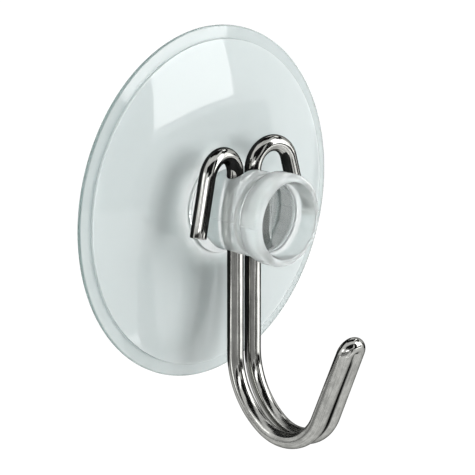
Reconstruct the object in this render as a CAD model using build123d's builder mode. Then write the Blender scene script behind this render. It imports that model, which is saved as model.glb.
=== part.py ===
from build123d import *
from math import asin, cos, degrees, radians, sin, tan
import os

# Suction cup hook, in millimetres.
# The cup's rim lies in the plane Y = 0 and faces the wall, towards +Y.
# The stem points out along -Y and the hook hangs down along -Z.
# A height is a distance out from the wall plane.

# Dish of the suction cup
cup_radius = 22.5
lip_width = 1.7
edge_thickness = 0.5
lip_thickness = 0.8
bead_step = 0.3
hollow_depth = 1.5
dish_thickness = 1.6
dome_bulge = 0.45
rim_round = 0.15

# Stem of the suction cup, from the dish outwards
base_radius = 6.0
base_length = 0.6
base_fillet = 0.4
waist_depth = 0.7
waist_length = 1.1
collar_radius = 5.4
collar_length = 5.8
groove_depth = 0.6
groove_length = 0.8
head_overhang = 0.5
head_length = 3.3
head_wall = 1.0
recess_depth = 3.4
recess_draft = 11
head_round = 0.8
collar_round = 0.4
inner_round = 0.15

# Wire hook
wire_diameter = 2.1
leg_spacing = 3.2
tip_spacing = 2.2
arch_radius = 3.0
arch_lift = 0.3
ear_splay = 15
ear_turn = 7
free_leg = 7.6
shank_length = 18.2
heel_radius = 10.5
heel_angle = 57
toe_radius = 6.2
tip_lean = 23.4
rise_length = 10.2
end_chamfer = 0.15

# Fit of the wire in the collar
slot_clearance = 0.1
slot_setback = 1.1

# Heights along the stem
dish_front = hollow_depth + dish_thickness
base_front = dish_front + base_length
collar_back = base_front + waist_length
collar_front = collar_back + collar_length
head_back = collar_front + groove_length
head_front = head_back + head_length
recess_floor = head_front - recess_depth

# Radii of the stem, set by the collar's
waist_radius = collar_radius - waist_depth
groove_radius = collar_radius - groove_depth
head_radius = collar_radius + head_overhang
recess_radius = head_radius - head_wall
recess_floor_radius = recess_radius - recess_depth * tan(radians(recess_draft))

# Edge of the dish
lip_inner = cup_radius - lip_width
dish_edge = lip_thickness + bead_step

# The slot is a loose fit round both legs of the wire
slot_width = wire_diameter + 2 * slot_clearance
slot_length = leg_spacing + slot_width
wire_height = collar_back + slot_setback + slot_width / 2

# Each arch springs from the slot's mouth
slot_mouth = (collar_radius**2 - (slot_length / 2) ** 2) ** 0.5
arch_base = slot_mouth + arch_lift

# Suction cup: one soft moulding, turned about the Y axis and pierced by the slot
half_section = Plane(origin=(0, 0, 0), x_dir=(1, 0, 0), z_dir=(0, 0, -1))

with BuildPart() as suction_cup:
    with BuildSketch(half_section) as cup_section:
        with BuildLine():
            stem = FilletPolyline(
                (0, recess_floor),
                (recess_floor_radius, recess_floor),
                (recess_radius, head_front),
                (head_radius, head_front),
                (head_radius, head_back),
                (groove_radius, head_back),
                (groove_radius, collar_front),
                (collar_radius, collar_front),
                (collar_radius, collar_back),
                (waist_radius, collar_back),
                (waist_radius, base_front),
                (base_radius, base_front),
                (base_radius, dish_front),
                radius=[inner_round, inner_round, head_round, head_round]
                + [inner_round, inner_round, collar_round, collar_round]
                + [inner_round, inner_round, inner_round],
            )
            dome = SagittaArc((base_radius, dish_front), (lip_inner, dish_edge), dome_bulge)
            lip = Polyline(
                (lip_inner, dish_edge),
                (lip_inner, lip_thickness),
                (cup_radius, edge_thickness),
                (cup_radius, 0),
                (lip_inner, 0),
            )
            hollow = TangentArc((0, hollow_depth), (lip_inner, 0), tangent=(1, 0))
            Line((0, hollow_depth), (0, recess_floor))
        make_face()
        corners = cup_section.vertices()
        fillet(corners.sort_by_distance((base_radius, dish_front, 0))[0], radius=base_fillet)
        fillet(cup_section.vertices().group_by(Axis.X)[-1], radius=rim_round)
    revolve(axis=Axis.Y)

    with BuildSketch(Plane.XY) as slot_section:
        with Locations((0, -wire_height)):
            SlotOverall(slot_length, slot_width)
    extrude(amount=head_radius, both=True, mode=Mode.SUBTRACT)

suction_cup.part.label = "suction_cup"


def leg_plane(turn):
    """Upright plane through the right leg of the wire, turned about the leg from the +X direction."""
    across = Vector(1, 0, 0).rotate(Axis.Z, turn)
    normal = across.cross(Vector(0, 0, 1))
    return Plane(origin=(leg_spacing / 2, -wire_height, 0), x_dir=across, z_dir=normal)


# Wire hook: one wire doubled back on itself, symmetrical about the plane X = 0
# The two legs close in from their spacing in the slot to their spacing at the tip
heel_reach = heel_radius * (1 - cos(radians(heel_angle)))
toe_reach = toe_radius * (cos(radians(heel_angle)) + cos(radians(tip_lean)))
tip_reach = heel_reach + toe_reach + rise_length * sin(radians(tip_lean))
closing = degrees(asin((leg_spacing - tip_spacing) / 2 / tip_reach))

with BuildLine(leg_plane(-ear_turn)) as ear:
    upper_leg = Line((0, 0), (0, arch_base))
    arch = JernArc(upper_leg @ 1, upper_leg % 1, radius=arch_radius, arc_size=-(180 - ear_splay))
    Line(arch @ 1, arch @ 1 + free_leg * (arch % 1))

with BuildLine(leg_plane(-90 - closing)) as bend:
    shank = Line((0, 0), (0, -shank_length))
    heel = JernArc(shank @ 1, shank % 1, radius=heel_radius, arc_size=heel_angle)
    toe = JernArc(heel @ 1, heel % 1, radius=toe_radius, arc_size=180 - tip_lean - heel_angle)
    rise = Line(toe @ 1, toe @ 1 + rise_length * (toe % 1))

with BuildLine() as wire_path:
    add(ear.line)
    add(bend.line)
    mirror(about=Plane.YZ)
    tip_start = rise @ 1
    TangentArc(tip_start, Vector(-tip_start.X, tip_start.Y, tip_start.Z), tangent=rise % 1)

with BuildPart() as wire_hook:
    route = wire_path.wires()[0]
    with BuildSketch(Plane(origin=route @ 0, z_dir=route % 0)) as wire_section:
        Circle(wire_diameter / 2)
    sweep(path=route)
    chamfer(wire_hook.faces().filter_by(GeomType.PLANE).edges(), length=end_chamfer)

wire_hook.part.label = "wire_hook"

os.makedirs("parts", exist_ok=True)
export_step(suction_cup.part, "parts/suction_cup.step")
export_step(wire_hook.part, "parts/wire_hook.step")
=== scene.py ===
import bpy
from math import asin, cos, pi, radians, sin, tan
from mathutils import Matrix, Vector
from bpy.props import FloatProperty, FloatVectorProperty, IntProperty, PointerProperty


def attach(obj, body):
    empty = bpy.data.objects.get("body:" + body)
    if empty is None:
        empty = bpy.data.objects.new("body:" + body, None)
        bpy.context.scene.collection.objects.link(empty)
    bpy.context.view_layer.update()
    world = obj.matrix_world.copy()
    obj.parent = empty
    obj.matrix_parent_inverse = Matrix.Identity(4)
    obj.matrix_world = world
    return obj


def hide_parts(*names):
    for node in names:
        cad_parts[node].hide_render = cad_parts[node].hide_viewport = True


bl_info = {
    "name": "Suction cup hook",
    "version": (1, 0, 0),
    "blender": (4, 5, 0),
    "location": "View3D > Sidebar > Cup hook",
    "description": "Models a clear suction cup with a bent wire hook and sets up its studio",
    "category": "Object",
}

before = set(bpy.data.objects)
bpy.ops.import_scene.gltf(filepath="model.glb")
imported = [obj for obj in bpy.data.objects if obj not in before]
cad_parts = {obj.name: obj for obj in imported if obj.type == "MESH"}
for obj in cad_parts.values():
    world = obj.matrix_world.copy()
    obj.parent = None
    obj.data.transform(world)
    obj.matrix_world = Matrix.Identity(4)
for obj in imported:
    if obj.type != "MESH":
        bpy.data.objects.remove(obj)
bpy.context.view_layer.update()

MM = 0.001
BODY = "root"
SIDEWAYS = Vector((1, 0, 0))
UPWARDS = Vector((0, 0, 1))
OUTWARDS = Vector((0, -1, 0))

# The studio's lamps and flags hang round the cup. Each has its azimuth and elevation in degrees,
# where azimuth 0 is straight out along the stem, then its width and height in metres.
LAMP_DISTANCE = 0.45
FLAG_DISTANCE = 0.6
FLOOR_SIZE = 6
FLOOR_LEVEL = -0.3

# Lamps that polished surfaces mirror, with their brightness
MIRRORED_LAMPS = (
    ("softbox", 39, 22, 0.172, 0.382, 3.7),
    ("front strip", -44, 8.5, 0.22, 0.06, 3.2),
    ("side strip", -99, 20, 0.19, 0.12, 2.6),
    ("low strip", -3, -43, 0.5, 0.06, 2.0),
)
# Lamps that light matt surfaces only
FILL_LAMPS = (
    ("key", 19, 15, 0.22, 0.3, 5.6),
    ("side fill", -90, 26, 0.3, 0.3, 4.5),
    ("back fill", 165, 25, 0.3, 0.3, 3.7),
)
# Lamps that light one piece only, which is named last
GLINTS = (
    ("wire glint", 41, -17, 0.25, 0.045, 2.0, "bent_wire"),
    ("side glint", -113, -17, 0.11, 0.045, 2.0, "bent_wire"),
    ("ear glint", 59, 12, 0.1, 0.28, 2.1, "bent_wire"),
    ("tip glint", 92, 44, 0.1, 0.08, 3.0, "bent_wire"),
    ("rim glint", 88, -4, 0.1, 0.5, 2.0, "moulded_cup"),
)
# The flags' cloths, by how light they look, and the flags, each with its cloth
CLOTHS = {"black": 0.01, "grey": 0.4}
FLAGS = (
    ("black", -35, 43, 0.75, 0.32),
    ("black", -21, 21, 0.43, 0.19),
    ("black", 76, 4, 0.14, 0.1),
    ("black", -68, -1, 0.75, 0.1),
    ("black", 4, -1, 0.56, 0.1),
    ("black", 20.5, 22, 0.18, 0.4),
    ("grey", -65, -15, 1.3, 0.16),
    ("grey", -136, -16, 0.5, 0.16),
    ("grey", -76, -42, 0.26, 0.17),
    ("black", 3, -15, 0.15, 0.16),
    ("black", 36, -8, 0.47, 0.1),
    ("black", 84, 41, 0.48, 0.24),
    ("black", 130, 70, 0.5, 0.36),
    ("black", 90, -12, 0.3, 0.2),
)


class Value:
    """A shader socket that adds Math nodes when it is used in an expression."""

    def __init__(self, finish, socket):
        self.finish = finish
        self.socket = socket

    def maths(self, operation, *others):
        sockets = dict(enumerate([self, *others]))
        node = self.finish.add("ShaderNodeMath", {"operation": operation}, sockets)
        return Value(self.finish, node.outputs[0])

    def __add__(self, other):
        return self.maths("ADD", other)

    def __mul__(self, other):
        return self.maths("MULTIPLY", other)

    def __sub__(self, other):
        return self.maths("SUBTRACT", other)

    def __rsub__(self, other):
        node = self.finish.add("ShaderNodeMath", {"operation": "SUBTRACT"}, {0: other, 1: self})
        return Value(self.finish, node.outputs[0])

    def __pow__(self, other):
        return self.maths("POWER", other)

    __radd__ = __add__
    __rmul__ = __mul__


class Finish:
    """A node tree that is filled one node at a time."""

    def __init__(self, tree):
        self.tree = tree
        self.tree.nodes.clear()

    @classmethod
    def material(cls, name):
        block = bpy.data.materials.new(name)
        block.use_nodes = True
        finish = cls(block.node_tree)
        finish.block = block
        return finish

    def add(self, kind, settings=None, inputs=None):
        """Adds a node, sets its settings, then sets or links its sockets."""
        node = self.tree.nodes.new(kind)
        for key, value in (settings or {}).items():
            setattr(node, key, value)
        for key, value in (inputs or {}).items():
            socket = node.inputs[key]
            if isinstance(value, Value):
                self.tree.links.new(value.socket, socket)
            elif isinstance(value, bpy.types.NodeSocket):
                self.tree.links.new(value, socket)
            else:
                socket.default_value = value
        return node

    def value(self, node, output=0):
        return Value(self, node.outputs[output])

    def ramp(self, value, low, high, start=0.0, end=1.0):
        """Runs smoothly from start to end while the value goes from low to high."""
        node = self.add(
            "ShaderNodeMapRange",
            {"interpolation_type": "SMOOTHSTEP"},
            {"Value": value, "From Min": low, "From Max": high, "To Min": start, "To Max": end},
        )
        return self.value(node)

    def noise(self, vector, scale, detail=2.0, roughness=0.5):
        node = self.add(
            "ShaderNodeTexNoise",
            {},
            {"Vector": vector, "Scale": scale, "Detail": detail, "Roughness": roughness},
        )
        return self.value(node)

    def blend(self, factor, first, second):
        """Mixes two colours, of which the first may be another blend."""
        start = first if isinstance(first, Value) else (*first, 1)
        sockets = {"Factor": factor, "A": start, "B": (*second, 1)}
        return self.value(self.add("ShaderNodeMix", {"data_type": "RGBA"}, sockets), "Result")

    def mix(self, factor, first, second):
        """Mixes two shaders."""
        sockets = {0: factor, 1: first.outputs[0], 2: second.outputs[0]}
        return self.add("ShaderNodeMixShader", {}, sockets)

    def end(self, shader, output="ShaderNodeOutputMaterial"):
        self.add(output, {}, {"Surface": shader.outputs[0]})


class Tracer:
    """Draws what is selected along straight runs and arcs, like wire through a bender."""

    def __init__(self, place, heading):
        self.place = Vector(place)
        self.heading = Vector(heading).normalized()
        self.travel = 0.0
        self.stops = []

    def run(self, length, steps=1):
        step = self.heading * length / steps
        for _ in range(steps):
            bpy.ops.mesh.extrude_region_move(TRANSFORM_OT_translate={"value": step})
            self.travel += length / steps
            self.stops.append(self.travel)
        self.place += self.heading * length

    def bend(self, radius, angle, towards, steps):
        """Turns the heading towards the arc's centre, which lies on that side."""
        centre = self.place + towards * radius
        bpy.ops.mesh.spin(steps=steps, angle=angle, center=centre, axis=towards.cross(self.heading))
        self.stops += [self.travel + radius * angle * (step + 1) / steps for step in range(steps)]
        self.travel += radius * angle
        turn = Matrix.Rotation(angle, 3, self.heading.cross(towards))
        self.place = centre + turn @ (self.place - centre)
        self.heading = turn @ self.heading

    def bow(self, end, bulge, side, steps):
        """An arc to that end, which stands out from its chord by the bulge, on that side."""
        chord = end - self.place
        radius = (chord.length_squared / 4 + bulge * bulge) / (2 * bulge)
        square = (side - chord * side.dot(chord) / chord.length_squared).normalized()
        centre = self.place + chord / 2 - square * (radius - bulge)
        towards = (centre - self.place).normalized()
        self.heading = (chord - towards * chord.dot(towards)).normalized()
        self.bend(radius, 2 * asin(chord.length / 2 / radius), towards, steps)

    def corners(self, places, steps=5):
        """Runs from corner to corner, each with its rounding, and stops at the last."""
        for (corner, rounding), (after, _) in zip(places, places[1:]):
            ahead = (after - corner).normalized()
            angle = self.heading.angle(ahead)
            self.run((corner - self.place).length - rounding * tan(angle / 2))
            towards = (ahead - self.heading * ahead.dot(self.heading)).normalized()
            self.bend(rounding, angle, towards, steps)
        self.run((places[-1][0] - self.place).length)


def pick(piece, wanted):
    """Goes to edit mode with only those vertices selected whose place is wanted."""
    bpy.ops.object.mode_set(mode="EDIT")
    bpy.ops.mesh.select_mode(type="VERT")
    bpy.ops.mesh.select_all(action="DESELECT")
    bpy.ops.object.mode_set(mode="OBJECT")
    for vertex in piece.data.vertices:
        vertex.select = wanted(vertex.co)
    bpy.ops.object.mode_set(mode="EDIT")


class WireSizes(bpy.types.PropertyGroup):
    diameter: FloatProperty(
        name="Wire", description="Diameter of the wire", unit="LENGTH", default=2.1 * MM
    )
    spacing: FloatProperty(
        name="Leg spacing",
        description="Between the two legs in the slot",
        unit="LENGTH",
        default=3.2 * MM,
    )
    tip_spacing: FloatProperty(
        name="Tip spacing",
        description="Between the two legs at the tip",
        unit="LENGTH",
        default=2.2 * MM,
    )
    height: FloatProperty(
        name="Height",
        description="Legs' distance out from the wall",
        unit="LENGTH",
        default=7.05 * MM,
    )
    arch_base: FloatProperty(
        name="Arch base",
        description="Where each arch springs above the slot",
        unit="LENGTH",
        default=4.948 * MM,
    )
    arch: FloatProperty(
        name="Arch", description="Radius of each ear", unit="LENGTH", default=3.0 * MM
    )
    splay: FloatProperty(
        name="Splay", description="Slope of each free leg", subtype="ANGLE", default=radians(15)
    )
    turn: FloatProperty(
        name="Turn",
        description="Each ear's turn away from the wall",
        subtype="ANGLE",
        default=radians(7),
    )
    free_leg: FloatProperty(
        name="Free leg", description="From the arch to the cut end", unit="LENGTH", default=7.6 * MM
    )
    shank: FloatProperty(
        name="Shank",
        description="From the collar's middle to the bend",
        unit="LENGTH",
        default=18.2 * MM,
    )
    heel: FloatProperty(
        name="Heel", description="Radius of the wide bend", unit="LENGTH", default=10.5 * MM
    )
    heel_angle: FloatProperty(
        name="Heel angle", description="Turn of the wide bend", subtype="ANGLE", default=radians(57)
    )
    toe: FloatProperty(
        name="Toe", description="Radius of the lower bend", unit="LENGTH", default=6.2 * MM
    )
    lean: FloatProperty(
        name="Tip lean",
        description="Slope of the rise to the tip",
        subtype="ANGLE",
        default=radians(23.4),
    )
    rise: FloatProperty(
        name="Rise", description="Straight length up to the tip", unit="LENGTH", default=10.2 * MM
    )
    end_round: FloatProperty(
        name="End round", description="Rounding of the cut ends", unit="LENGTH", default=0.15 * MM
    )
    sides: IntProperty(name="Sides", description="Faces round the wire", default=64)
    plating: FloatVectorProperty(
        name="Plating",
        description="Colour of the plating",
        subtype="COLOR",
        default=(0.46, 0.462, 0.44),
    )


class CupSizes(bpy.types.PropertyGroup):
    radius: FloatProperty(
        name="Cup radius", description="To the rim", unit="LENGTH", default=22.5 * MM
    )
    lip: FloatProperty(
        name="Lip", description="Width of the flat lip", unit="LENGTH", default=1.7 * MM
    )
    edge: FloatProperty(
        name="Edge", description="Thickness at the rim", unit="LENGTH", default=0.5 * MM
    )
    lip_thickness: FloatProperty(
        name="Lip thickness",
        description="Thickness of the lip inside",
        unit="LENGTH",
        default=0.8 * MM,
    )
    bead: FloatProperty(
        name="Bead", description="Step from the lip up to the dish", unit="LENGTH", default=0.3 * MM
    )
    hollow: FloatProperty(
        name="Hollow", description="Depth behind the dish", unit="LENGTH", default=1.5 * MM
    )
    dish: FloatProperty(
        name="Dish",
        description="Thickness of the dish at its middle",
        unit="LENGTH",
        default=1.6 * MM,
    )
    bulge: FloatProperty(
        name="Bulge", description="Crown of the dish's front", unit="LENGTH", default=0.45 * MM
    )
    base: FloatProperty(
        name="Base", description="Radius of the base ring", unit="LENGTH", default=6.0 * MM
    )
    base_length: FloatProperty(
        name="Base length", description="Length of the base ring", unit="LENGTH", default=0.6 * MM
    )
    waist: FloatProperty(
        name="Waist", description="Radius of the waist", unit="LENGTH", default=4.7 * MM
    )
    waist_length: FloatProperty(
        name="Waist length", description="Length of the waist", unit="LENGTH", default=1.1 * MM
    )
    collar: FloatProperty(
        name="Collar", description="Radius of the collar", unit="LENGTH", default=5.4 * MM
    )
    collar_length: FloatProperty(
        name="Collar length", description="Length of the collar", unit="LENGTH", default=5.8 * MM
    )
    groove: FloatProperty(
        name="Groove",
        description="Radius in the groove behind the head",
        unit="LENGTH",
        default=4.8 * MM,
    )
    groove_length: FloatProperty(
        name="Groove length", description="Width of the groove", unit="LENGTH", default=0.8 * MM
    )
    head: FloatProperty(
        name="Head", description="Radius of the button head", unit="LENGTH", default=5.9 * MM
    )
    head_length: FloatProperty(
        name="Head length", description="Length of the button head", unit="LENGTH", default=3.3 * MM
    )
    recess: FloatProperty(
        name="Recess",
        description="Radius of the hollow in the head",
        unit="LENGTH",
        default=4.9 * MM,
    )
    recess_depth: FloatProperty(
        name="Recess depth",
        description="Depth of the hollow in the head",
        unit="LENGTH",
        default=3.4 * MM,
    )
    draft: FloatProperty(
        name="Draft", description="Slope of the recess wall", subtype="ANGLE", default=radians(11)
    )
    slot_length: FloatProperty(
        name="Slot length",
        description="Long side of the wire's slot",
        unit="LENGTH",
        default=5.5 * MM,
    )
    slot_width: FloatProperty(
        name="Slot width",
        description="Short side of the wire's slot",
        unit="LENGTH",
        default=2.3 * MM,
    )
    slot_height: FloatProperty(
        name="Slot height",
        description="Slot's distance out from the wall",
        unit="LENGTH",
        default=7.05 * MM,
    )
    head_round: FloatProperty(
        name="Head round",
        description="Rounding of the button head",
        unit="LENGTH",
        default=0.8 * MM,
    )
    collar_round: FloatProperty(
        name="Collar round",
        description="Rounding of the collar and the foot of the base ring",
        unit="LENGTH",
        default=0.4 * MM,
    )
    small_round: FloatProperty(
        name="Small round",
        description="Rounding of the other edges",
        unit="LENGTH",
        default=0.15 * MM,
    )
    step_round: FloatProperty(
        name="Step round",
        description="Rounding at the step to the lip",
        unit="LENGTH",
        default=0.08 * MM,
    )
    flash: FloatProperty(
        name="Flash",
        description="Height of the mould's parting line",
        unit="LENGTH",
        default=0.06 * MM,
    )
    steps: IntProperty(name="Steps", description="Faces round the cup", default=288)
    tint: FloatVectorProperty(
        name="Tint",
        description="Colour of light through the plastic",
        subtype="COLOR",
        default=(0.755, 0.80, 0.795),
    )
    milk: FloatVectorProperty(
        name="Milk",
        description="Colour of the dish's haze",
        subtype="COLOR",
        default=(0.575, 0.62, 0.62),
    )
    # Painted shade: a near-black tint for light through the floor of the head's hollow, which
    # darkens the hollow
    painted_floor_shade: FloatVectorProperty(
        name="Floor tint",
        description="Colour through the floor of the hollow in the head",
        subtype="COLOR",
        default=(0.14, 0.155, 0.15),
    )
    # Painted shade: a dark teal tint on the lip's step and its outer rim, in both the clear and the
    # hazy plastic
    painted_edge_shade: FloatVectorProperty(
        name="Edge tint",
        description="Colour of the lip's edge",
        subtype="COLOR",
        default=(0.25, 0.32, 0.31),
    )
    # Painted light: the stem's haze is much lighter than the dish's, which brightens the head
    painted_light_stem_milk: FloatVectorProperty(
        name="Stem milk",
        description="Colour of the stem's haze",
        subtype="COLOR",
        default=(0.86, 0.9, 0.895),
    )
    haze: FloatProperty(
        name="Haze", description="Share of haze in the dish", subtype="FACTOR", default=0.85
    )
    stem_haze: FloatProperty(
        name="Stem haze", description="Share of haze in the stem", subtype="FACTOR", default=0.25
    )
    head_haze: FloatProperty(
        name="Head haze",
        description="Share of haze in the middle of the head",
        subtype="FACTOR",
        default=0.05,
    )
    lip_clearing: FloatProperty(
        name="Lip clearing",
        description="How much less haze the lip has than the dish",
        subtype="FACTOR",
        default=0.45,
    )


class StudioSettings(bpy.types.PropertyGroup):
    azimuth: FloatProperty(
        name="Azimuth",
        description="Camera's turn round the cup",
        subtype="ANGLE",
        default=radians(-47.1),
    )
    elevation: FloatProperty(
        name="Elevation",
        description="Camera's height above the level",
        subtype="ANGLE",
        default=radians(15.3),
    )
    distance: FloatProperty(
        name="Distance",
        description="Camera to the cup's rim plane",
        unit="LENGTH",
        default=505.4 * MM,
    )
    right: FloatProperty(
        name="Right",
        description="How far the camera stands to the right of the cup's middle",
        unit="LENGTH",
        default=4.34 * MM,
    )
    up: FloatProperty(
        name="Up",
        description="How far the camera stands above the cup's middle",
        unit="LENGTH",
        default=-4.65 * MM,
    )
    lens: FloatProperty(name="Lens", description="Focal length", unit="CAMERA", default=303.2)
    ambient: FloatProperty(
        name="Ambient", description="Strength of the light all round", default=0.42
    )
    floor_glow: FloatProperty(
        name="Floor glow", description="How white the floor is seen", default=1.12
    )


class HOOK_OT_suction_cup(bpy.types.Operator):
    """Turns the cup from its half section, pierces its slot and raises its parting line"""

    bl_idname = "hook.suction_cup"
    bl_label = "Suction cup"

    def execute(self, context):
        sizes = context.scene.hook_cup
        cup = self.turn_section(context, sizes)
        self.raise_parting_line(cup, sizes)
        self.pierce_slot(context, cup, sizes)
        bpy.ops.object.shade_smooth_by_angle(angle=radians(35))
        even = cup.modifiers.new("even shading", "WEIGHTED_NORMAL")
        even.keep_sharp = True
        bpy.ops.object.modifier_apply(modifier=even.name)
        cup.data.materials.append(self.soft_plastic(sizes))
        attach(cup, BODY)
        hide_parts("suction_cup")
        return {"FINISHED"}

    def turn_section(self, context, sizes):
        """Draws the half section from the recess out and round to the hollow, then spins it."""

        def at(radius, height, rounding=sizes.small_round):
            return Vector((radius, -height, 0)), rounding

        dish_front = sizes.hollow + sizes.dish
        base_front = dish_front + sizes.base_length
        collar_back = base_front + sizes.waist_length
        collar_front = collar_back + sizes.collar_length
        head_back = collar_front + sizes.groove_length
        head_front = head_back + sizes.head_length
        floor = head_front - sizes.recess_depth
        floor_radius = sizes.recess - sizes.recess_depth * tan(sizes.draft)
        lip_inner = sizes.radius - sizes.lip
        bpy.ops.object.select_all(action="DESELECT")
        bpy.ops.mesh.primitive_circle_add(vertices=3, radius=0.01 * MM, location=(0, -floor, 0))
        cup = context.object
        cup.name = "moulded_cup"
        bpy.ops.object.transform_apply(location=True, rotation=True, scale=True)
        bpy.ops.object.mode_set(mode="EDIT")
        bpy.ops.mesh.merge(type="CENTER")
        section = Tracer((0, -floor, 0), SIDEWAYS)
        section.corners(
            (
                at(floor_radius, floor),
                at(sizes.recess, head_front),
                at(sizes.head, head_front, sizes.head_round),
                at(sizes.head, head_back, sizes.head_round),
                at(sizes.groove, head_back),
                at(sizes.groove, collar_front),
                at(sizes.collar, collar_front, sizes.collar_round),
                at(sizes.collar, collar_back, sizes.collar_round),
                at(sizes.waist, collar_back),
                at(sizes.waist, base_front),
                at(sizes.base, base_front),
                at(sizes.base, dish_front, sizes.collar_round),
                at(sizes.base + 1.5 * sizes.collar_round, dish_front),
            )
        )
        dish_edge, _ = at(lip_inner, sizes.lip_thickness + sizes.bead)
        section.bow(dish_edge, sizes.bulge, OUTWARDS, steps=48)
        section.heading = -OUTWARDS
        section.corners(
            (
                at(lip_inner, sizes.lip_thickness, sizes.step_round),
                at(sizes.radius, sizes.edge),
                at(sizes.radius, 0),
                at(lip_inner, 0),
            )
        )
        middle, _ = at(0, sizes.hollow)
        rise = sizes.hollow * sizes.hollow
        sphere = (lip_inner * lip_inner + rise) / (2 * sizes.hollow)
        bulge = sphere - (sphere * sphere - (lip_inner * lip_inner + rise) / 4) ** 0.5
        section.bow(middle, bulge, OUTWARDS, steps=32)
        bpy.ops.mesh.select_all(action="SELECT")
        bpy.ops.mesh.spin(steps=sizes.steps, angle=2 * pi, center=(0, 0, 0), axis=(0, 1, 0))
        bpy.ops.mesh.select_all(action="SELECT")
        bpy.ops.mesh.remove_doubles(threshold=0.001 * MM)
        bpy.ops.mesh.normals_make_consistent(inside=False)
        bpy.ops.object.mode_set(mode="OBJECT")
        return cup

    def raise_parting_line(self, cup, sizes):
        """Raises the plastic a little along both sides, where the halves of the mould met."""
        dish_front = sizes.hollow + sizes.dish
        pick(
            cup,
            lambda place: abs(place.z) < 0.001 * MM
            and -place.y > dish_front + sizes.base_length / 2
            and (abs(place.x) > sizes.recess or -place.y < dish_front + sizes.collar_length),
        )
        wider = 1 + sizes.flash / sizes.collar
        bpy.ops.transform.resize(value=(wider, 1, 1), center_override=(0, 0, 0))
        bpy.ops.object.mode_set(mode="OBJECT")

    def pierce_slot(self, context, cup, sizes):
        """Cuts the round-ended slot for the wire right through the collar."""
        bpy.ops.object.select_all(action="DESELECT")
        bpy.ops.mesh.primitive_cube_add(size=1, location=(0, -sizes.slot_height, 0))
        punch = context.object
        punch.scale = (sizes.slot_length, sizes.slot_width, 3 * sizes.collar)
        bpy.ops.object.transform_apply(location=True, rotation=True, scale=True)
        bpy.ops.object.mode_set(mode="EDIT")
        bpy.ops.mesh.select_all(action="DESELECT")
        bpy.ops.object.mode_set(mode="OBJECT")
        for edge in punch.data.edges:
            ends = [punch.data.vertices[index].co for index in edge.vertices]
            edge.select = abs(ends[0].z - ends[1].z) > sizes.collar
        bpy.ops.object.mode_set(mode="EDIT")
        bpy.ops.mesh.select_mode(type="EDGE")
        bpy.ops.mesh.bevel(offset=0.499 * sizes.slot_width, segments=20, affect="EDGES")
        bpy.ops.object.mode_set(mode="OBJECT")
        context.view_layer.objects.active = cup
        cut = cup.modifiers.new("slot", "BOOLEAN")
        cut.object = punch
        cut.operation = "DIFFERENCE"
        cut.solver = "EXACT"
        bpy.ops.object.modifier_apply(modifier=cut.name)
        bpy.data.objects.remove(punch)
        cup.select_set(True)

    def soft_plastic(self, sizes):
        """Clear plastic mixed with haze: little in the head, more in the stem, most in the dish."""
        # Where one look gives way to the next, by radius, or by place along the stem
        lip_inner = sizes.radius - sizes.lip
        recess_wall = 4.2 * MM, 4.6 * MM
        recess_floor = 4.5 * MM, 4.1 * MM
        floor_depth = -10 * MM, -11 * MM
        stem_to_dish = 5.5 * MM, 9 * MM
        lip_step = lip_inner, lip_inner + 0.1 * MM
        rim = sizes.radius - 0.25 * MM, sizes.radius
        finish = Finish.material("clear soft plastic")
        place = finish.add("ShaderNodeTexCoord").outputs["Object"]
        parts = finish.add("ShaderNodeSeparateXYZ", {}, {0: place})
        across, depth, upward = (finish.value(parts, axis) for axis in range(3))
        radius = (across * across + upward * upward) ** 0.5
        spread = finish.ramp(radius, *stem_to_dish)
        # Painted shade: the lip's step is tinted a little and its outer rim strongly towards the
        # dark edge colour
        edge = finish.ramp(radius, *lip_step, end=0.12) + finish.ramp(radius, *rim, end=0.8)
        # Painted shade: where the head's hollow has its floor, light through the plastic is tinted
        # near black
        floor = finish.ramp(radius, *recess_floor) * finish.ramp(depth, *floor_depth)
        stem_tint = [shade**0.4 for shade in sizes.tint]
        through = finish.blend(spread, stem_tint, sizes.tint)
        through = finish.blend(floor, through, sizes.painted_floor_shade)
        through = finish.blend(edge, through, sizes.painted_edge_shade)
        clear = finish.add(
            "ShaderNodeBsdfPrincipled",
            {},
            {"Base Color": through, "Roughness": 0.04, "IOR": 1.5, "Transmission Weight": 1.0},
        )
        # Painted light: the haze is lighter in the stem and head than in the dish
        milk = finish.blend(spread, sizes.painted_light_stem_milk, sizes.milk)
        milk = finish.blend(edge, milk, sizes.painted_edge_shade)
        hazy = finish.add(
            "ShaderNodeBsdfPrincipled",
            {},
            {
                "Base Color": milk,
                "Roughness": 0.04,
                "IOR": 1.5,
                "Subsurface Weight": 1.0,
                "Subsurface Radius": (1, 1, 1),
                "Subsurface Scale": 1.2 * MM,
            },
        )
        haze = finish.ramp(radius, *recess_wall, sizes.head_haze, sizes.stem_haze)
        haze = haze + spread * (sizes.haze - sizes.stem_haze)
        haze = haze - finish.ramp(radius, *lip_step) * sizes.lip_clearing
        moulded = finish.mix(haze, clear, hazy)
        # Its shadow is faint where light goes straight through and deep where it is seen aslant
        path = finish.add("ShaderNodeLightPath")
        bare = finish.add("ShaderNodeBsdfTransparent", {}, {"Color": (*sizes.tint, 1)})
        slant = finish.value(finish.add("ShaderNodeLayerWeight", {}, {"Blend": 0.4}), "Facing")
        shadow = finish.value(path, "Is Shadow Ray") * (0.9 - slant * 0.75)
        # Painted reflection: in mirror reflections, as in the polished wire, the cup is drawn near
        # black, darker than it is; what it shows within itself isn't dimmed
        painted_dark_reflection = finish.add("ShaderNodeBsdfDiffuse", {}, {"Color": (0.01, 0.01, 0.01, 1)})
        outside = finish.value(path, "Transmission Depth").maths("LESS_THAN", 0.5)
        mirrored = finish.value(path, "Is Glossy Ray") * outside * 0.96
        finish.end(finish.mix(mirrored, finish.mix(shadow, moulded, bare), painted_dark_reflection))
        return finish.block


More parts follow.
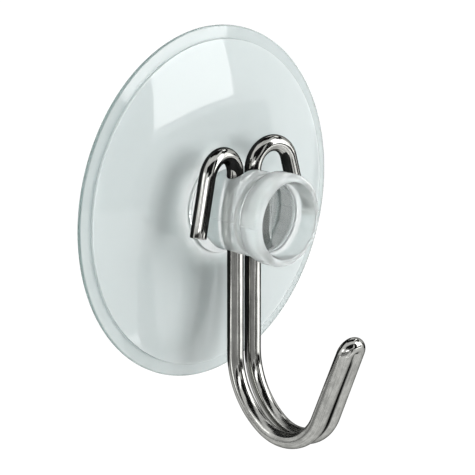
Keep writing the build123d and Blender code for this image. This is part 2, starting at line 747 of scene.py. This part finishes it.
class HOOK_OT_wire_hook(bpy.types.Operator):
    """Bends one wire into the doubled hook, from its cut ends round to its tip"""

    bl_idname = "hook.wire_hook"
    bl_label = "Wire hook"

    def execute(self, context):
        sizes = context.scene.hook_wire
        wire = self.start(context, sizes)
        ear = self.bend_ear(sizes)
        hook = self.bend_hook(wire, sizes)
        bpy.ops.object.mode_set(mode="OBJECT")
        self.mark_drawing(wire, sizes, [0.0] + [-stop for stop in ear.stops] + hook.stops)
        self.close(wire, sizes)
        wire.data.materials.append(self.drawn_plating(sizes))
        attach(wire, BODY)
        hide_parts("wire_hook")
        return {"FINISHED"}

    def start(self, context, sizes):
        """A ring of the wire's own size, level in the middle of the slot."""
        bpy.ops.object.select_all(action="DESELECT")
        bpy.ops.mesh.primitive_circle_add(
            vertices=sizes.sides,
            radius=sizes.diameter / 2,
            location=(sizes.spacing / 2, -sizes.height, 0),
        )
        wire = context.object
        wire.name = "bent_wire"
        bpy.ops.object.transform_apply(location=True, rotation=True, scale=True)
        bpy.ops.object.mode_set(mode="EDIT")
        return wire

    def bend_ear(self, sizes):
        """Up out of the slot, over the arch and down the free leg to the cut end."""
        across = Matrix.Rotation(-sizes.turn, 3, "Z") @ SIDEWAYS
        ear = Tracer((sizes.spacing / 2, -sizes.height, 0), UPWARDS)
        ear.run(sizes.arch_base, steps=4)
        ear.bend(sizes.arch, pi - sizes.splay, across, steps=48)
        ear.run(sizes.free_leg, steps=6)
        bpy.ops.mesh.edge_face_add()
        return ear

    def bend_hook(self, wire, sizes):
        """The shank, the two bends and the rise, closing in on the plane X = 0 at the tip."""
        heel_reach = sizes.heel * (1 - cos(sizes.heel_angle))
        toe_reach = sizes.toe * (cos(sizes.heel_angle) + cos(sizes.lean))
        reach = heel_reach + toe_reach + sizes.rise * sin(sizes.lean)
        closing = asin((sizes.spacing - sizes.tip_spacing) / 2 / reach)
        outward = Matrix.Rotation(-closing, 3, "Z") @ OUTWARDS
        pick(wire, lambda place: abs(place.z) < 1e-6 and place.y > -sizes.height - sizes.diameter)
        hook = Tracer((sizes.spacing / 2, -sizes.height, 0), -UPWARDS)
        hook.run(sizes.shank, steps=12)
        hook.bend(sizes.heel, sizes.heel_angle, outward, steps=36)
        level = hook.heading.cross(outward).cross(hook.heading).normalized()
        hook.bend(sizes.toe, pi - sizes.lean - sizes.heel_angle, level, steps=60)
        hook.run(sizes.rise, steps=8)
        inward = -SIDEWAYS
        inward = (inward - hook.heading * inward.dot(hook.heading)).normalized()
        radius = -hook.place.x / inward.x
        hook.bend(radius, hook.heading.angle(-SIDEWAYS), inward, steps=20)
        return hook

    def mark_drawing(self, wire, sizes, stops):
        """Keeps each point's place round and along the wire, which the drawn streaks follow."""
        drawn = wire.data.attributes.new("drawn", "FLOAT_VECTOR", "POINT")
        for index, mark in enumerate(drawn.data):
            ring, side = divmod(index, sizes.sides)
            turn = 2 * pi * side / sizes.sides
            mark.vector = (cos(turn), sin(turn), stops[ring] / sizes.diameter)

    def close(self, wire, sizes):
        """Rounds the cut end, adds the other half and shades the whole."""
        bevel = wire.modifiers.new("cut end", "BEVEL")
        bevel.width = sizes.end_round
        bevel.segments = 3
        bevel.limit_method = "ANGLE"
        bevel.angle_limit = radians(60)
        bpy.ops.object.modifier_apply(modifier=bevel.name)
        mirror = wire.modifiers.new("other leg", "MIRROR")
        mirror.merge_threshold = 0.005 * MM
        bpy.ops.object.modifier_apply(modifier=mirror.name)
        bpy.ops.object.mode_set(mode="EDIT")
        bpy.ops.mesh.select_all(action="SELECT")
        bpy.ops.mesh.remove_doubles(threshold=0.002 * MM)
        bpy.ops.mesh.normals_make_consistent(inside=False)
        bpy.ops.object.mode_set(mode="OBJECT")
        bpy.ops.object.shade_smooth_by_angle(angle=radians(40))

    def drawn_plating(self, sizes):
        """Bright metal with drawn streaks, duller where it is bent and scuffed, with painted shade
        in the crevice between its legs.
        """
        finish = Finish.material("bright drawn plating")
        drawn = finish.add("ShaderNodeAttribute", {"attribute_name": "drawn"}).outputs["Vector"]
        place = finish.add("ShaderNodeTexCoord").outputs["Object"]
        # Streaks follow the wire; the scales of the other patterns are per metre
        lengthwise = finish.add("ShaderNodeMapping", {}, {"Vector": drawn, "Scale": (1, 1, 0.09)})
        streaks = finish.noise(lengthwise.outputs[0], 9.0, 4.0, 0.6)
        grain = finish.noise(place, 4200.0, 3.0, 0.6)
        cloud = finish.noise(place, 260.0, 3.0, 0.55)
        round_wire = finish.add("ShaderNodeSeparateXYZ", {}, {0: drawn})
        beside = finish.value(round_wire, 1)
        along = finish.value(round_wire, 2)
        # Places along the wire count in its diameters from the slot: the tip is at 24
        bent = finish.ramp(along, 11.0, 14.0) * finish.ramp(along, 24.2, 23.4)
        worn = bent * 0.6 + finish.ramp(along, 1.0, 3.0) * 0.4
        scuffs = worn * finish.ramp(finish.noise(place, 1300.0, 4.0, 0.7), 0.38, 0.62)
        dull = finish.ramp(streaks * 0.6 + cloud * 0.4, 0.42, 0.66) + scuffs * 0.4
        dull_plating = [0.6 * shade for shade in sizes.plating]
        tone = finish.blend(dull, sizes.plating, dull_plating)
        # Painted shade: the legs' facing sides go near black from the lower bend to just short of
        # the tip, where the legs lie close
        painted_crevice_shade = finish.ramp(beside, 0.7, 0.84) * finish.ramp(along, 14.5, 17.5)
        painted_crevice_shade = painted_crevice_shade * finish.ramp(along, 23.5, 22.8)
        tone = finish.blend(painted_crevice_shade, tone, (0.01, 0.01, 0.01))
        height = streaks * 0.5 + grain * (bent * 0.8 + 0.5)
        bump = finish.add(
            "ShaderNodeBump", {}, {"Strength": 0.12, "Distance": 0.02 * MM, "Height": height}
        )
        surface = finish.add(
            "ShaderNodeBsdfPrincipled",
            {},
            {
                "Base Color": tone,
                "Metallic": 1.0,
                "Specular Tint": (0.2, 0.2, 0.2, 1),
                "Roughness": dull * 0.10 + bent * 0.08 + 0.07,
                "Normal": bump.outputs[0],
            },
        )
        finish.end(surface)
        return finish.block


class HOOK_OT_studio(bpy.types.Operator):
    """Sets up the camera, the lamps, the dark flags and the pale floor"""

    bl_idname = "hook.studio"
    bl_label = "Studio"

    def execute(self, context):
        settings = context.scene.hook_studio
        self.place_camera(context, settings)
        self.light_world(context, settings)
        self.lay_floor(context, settings)
        for lamp in MIRRORED_LAMPS:
            self.hang_lamp(context, *lamp, mirrored=True)
        for lamp in FILL_LAMPS:
            self.hang_lamp(context, *lamp, mirrored=False)
        for *lamp, piece in GLINTS:
            glint = self.hang_lamp(context, *lamp, mirrored=True)
            lit = bpy.data.collections.new(glint.name)
            lit.objects.link(bpy.data.objects[piece])
            glint.light_linking.receiver_collection = lit
        cloths = {name: self.cloth(f"{name} cloth", shade) for name, shade in CLOTHS.items()}
        for name, *flag in FLAGS:
            self.hang_flag(context, cloths[name], *flag)
        context.scene.view_settings.view_transform = "Standard"
        return {"FINISHED"}

    def place_camera(self, context, settings):
        a, e = settings.azimuth, settings.elevation
        back = self.aim(a, e)
        right = Vector((cos(a), sin(a), 0))
        up = back.cross(right)
        bpy.ops.object.camera_add(
            location=back * settings.distance + right * settings.right + up * settings.up,
            rotation=(radians(90) - e, 0, a),
        )
        camera = context.object
        camera.data.lens = settings.lens
        camera.data.clip_start = 0.01
        context.scene.camera = camera

    def aim(self, azimuth, elevation):
        """Direction out from the cup: azimuth 0 is straight out along the stem."""
        level = cos(elevation)
        return Vector((sin(azimuth) * level, -cos(azimuth) * level, sin(elevation)))

    def seen_directly(self, finish):
        """One for what is seen, in a mirror or through plastic too, and zero for what lights."""
        path = finish.add("ShaderNodeLightPath")
        seen = finish.value(path, "Is Camera Ray") + finish.value(path, "Is Glossy Ray")
        return seen + finish.value(path, "Is Transmission Ray")

    def light_world(self, context, settings):
        """Even light all round, which clear and polished surfaces see as white."""
        world = bpy.data.worlds.new("studio")
        context.scene.world = world
        world.use_nodes = True
        sky = Finish(world.node_tree)
        light, white = (
            sky.add("ShaderNodeBackground", {}, {"Color": (1, 1, 1, 1), "Strength": strength})
            for strength in (settings.ambient, 1.0)
        )
        sky.end(sky.mix(self.seen_directly(sky), light, white), "ShaderNodeOutputWorld")

    def lay_floor(self, context, settings):
        """A pale matt floor, which is seen as white as the sky."""
        bpy.ops.mesh.primitive_plane_add(size=FLOOR_SIZE, location=(0, 0, FLOOR_LEVEL))
        floor = context.object
        floor.name = "floor"
        finish = Finish.material("pale floor")
        matt = finish.add("ShaderNodeBsdfDiffuse", {}, {"Color": (0.85, 0.85, 0.84, 1)})
        glow = finish.add(
            "ShaderNodeEmission", {}, {"Color": (1, 1, 1, 1), "Strength": settings.floor_glow}
        )
        whitened = self.seen_directly(finish) * 0.9
        finish.end(finish.mix(whitened, matt, glow))
        floor.data.materials.append(finish.block)

    def turn_to_cup(self, thing, azimuth, elevation, distance):
        direction = self.aim(radians(azimuth), radians(elevation))
        thing.location = direction * distance
        thing.rotation_euler = direction.to_track_quat("Z", "Y").to_euler()

    def hang_lamp(self, context, name, azimuth, elevation, width, height, light, mirrored):
        """An area lamp of the given brightness; an unmirrored one lights matt surfaces only."""
        bpy.ops.object.light_add(type="AREA")
        lamp = context.object
        lamp.name = name
        self.turn_to_cup(lamp, azimuth, elevation, LAMP_DISTANCE)
        lamp.data.shape = "RECTANGLE"
        lamp.data.size = width
        lamp.data.size_y = height
        lamp.data.energy = light * width * height * pi
        lamp.visible_camera = False
        lamp.visible_glossy = mirrored
        lamp.visible_transmission = mirrored
        return lamp

    def cloth(self, name, shade):
        """A card's cloth, which looks the same in whatever light the card hangs."""
        finish = Finish.material(name)
        even = finish.add("ShaderNodeEmission", {}, {"Color": (shade, shade, shade, 1)})
        finish.end(even)
        return finish.block

    def hang_flag(self, context, cloth, azimuth, elevation, width, height):
        """A dark card outside the picture that gives polished surfaces their dark lines."""
        bpy.ops.mesh.primitive_plane_add(size=1)
        flag = context.object
        flag.name = f"flag.{azimuth}.{elevation}".replace("-", "m")
        flag.scale = (width, height, 1)
        self.turn_to_cup(flag, azimuth, elevation, FLAG_DISTANCE)
        flag.visible_transmission = False
        flag.visible_camera = False
        flag.visible_diffuse = False
        flag.visible_shadow = False
        flag.data.materials.append(cloth)


class HOOK_PT_panel(bpy.types.Panel):
    """Lists the steps that make the hook"""

    bl_label = "Cup hook"
    bl_idname = "HOOK_PT_panel"
    bl_space_type = "VIEW_3D"
    bl_region_type = "UI"
    bl_category = "Cup hook"

    def draw(self, context):
        for step in STEPS:
            self.layout.operator(step.bl_idname)
        for name in GROUPS:
            group = getattr(context.scene, name)
            for key in group.__annotations__:
                self.layout.prop(group, key)


STEPS = (HOOK_OT_suction_cup, HOOK_OT_wire_hook, HOOK_OT_studio)
GROUPS = {"hook_cup": CupSizes, "hook_wire": WireSizes, "hook_studio": StudioSettings}


def register():
    for cls in (*GROUPS.values(), *STEPS, HOOK_PT_panel):
        bpy.utils.register_class(cls)
    for name, group in GROUPS.items():
        setattr(bpy.types.Scene, name, PointerProperty(type=group))


def unregister():
    for name in GROUPS:
        delattr(bpy.types.Scene, name)
    for cls in reversed((*GROUPS.values(), *STEPS, HOOK_PT_panel)):
        bpy.utils.unregister_class(cls)


def main():
    register()
    bpy.ops.object.select_all(action="DESELECT")
    bpy.ops.hook.suction_cup()
    bpy.ops.hook.wire_hook()
    bpy.ops.hook.studio()


if __name__ == "__main__":
    main()
